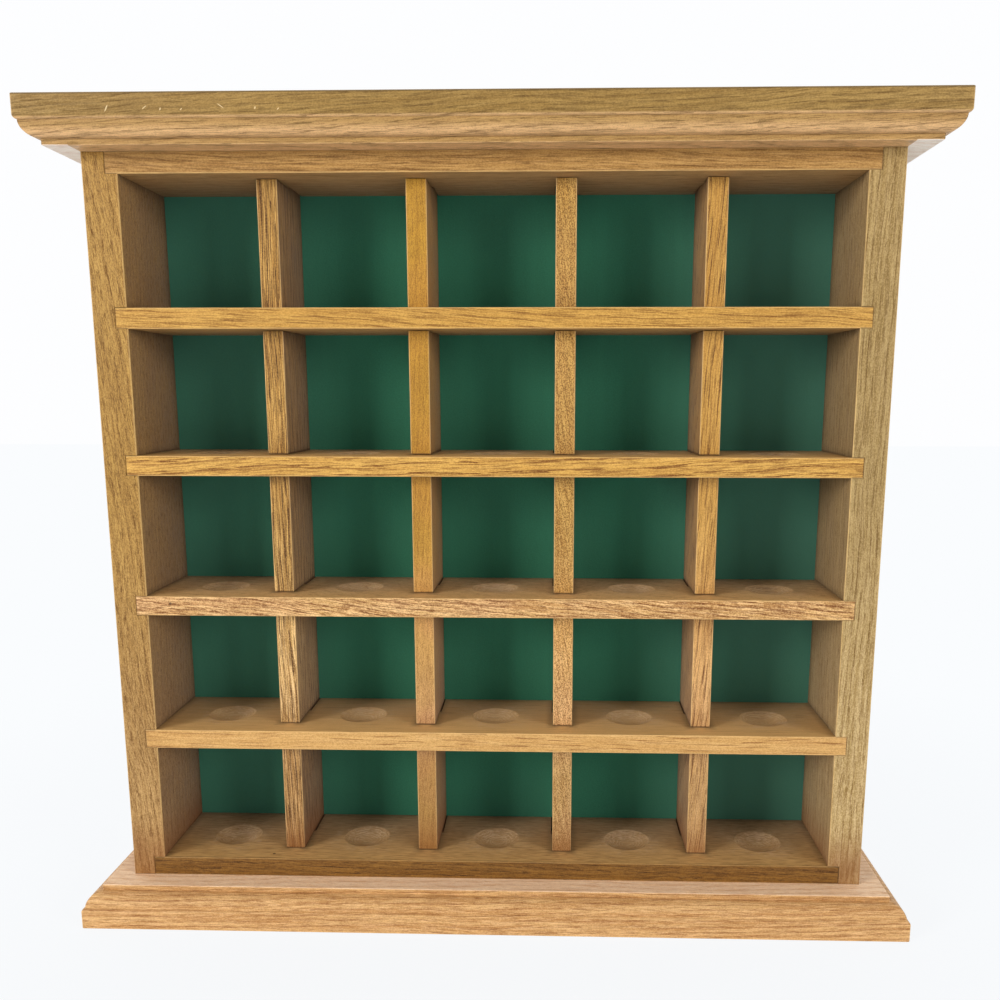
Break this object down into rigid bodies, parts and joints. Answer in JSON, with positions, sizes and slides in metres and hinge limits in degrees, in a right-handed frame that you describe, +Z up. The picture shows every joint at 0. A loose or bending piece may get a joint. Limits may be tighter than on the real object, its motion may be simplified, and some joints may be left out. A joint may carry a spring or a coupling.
{
  "type": "golf ball display case",
  "caption": "Open-fronted oak display case: a grid of cells with dished floors and a green felt back, between a moulded crown and base.",
  "frame": {"origin": "middle of the underside of the base, halfway between the front of the base and its back edge", "axes": "+Z up, +X to the right of someone who looks at the open front, and the front faces -Y"},
  "size_m": [0.376, 0.073, 0.3588],
  "materials": {
    "crown_oak": "satin varnish",
    "base_oak": "satin varnish",
    "side_oak": "satin varnish",
    "shelf_oak": "satin varnish",
    "divider_oak": "satin varnish",
    "panel_plywood": "plain sanded",
    "green_felt": "short flat nap",
    "dowel_beech": "plain sanded",
    "zinc_steel": "zinc plated"
  },
  "bodies": {
    "root": {"base": "base_oak", "left_side": "side_oak", "right_side": "side_oak", "bottom_board": "shelf_oak", "shelf_1": "shelf_oak", "shelf_2": "shelf_oak", "shelf_3": "shelf_oak", "shelf_4": "shelf_oak", "top_board": "shelf_oak", "divider_1": "divider_oak", "divider_2": "divider_oak", "divider_3": "divider_oak", "divider_4": "divider_oak", "crown": "crown_oak", "back_panel": "panel_plywood", "felt_lining": "green_felt", "base_screws": "zinc_steel", "crown_dowels": "dowel_beech", "panel_nails": "zinc_steel"}
  },
  "joints": []
}
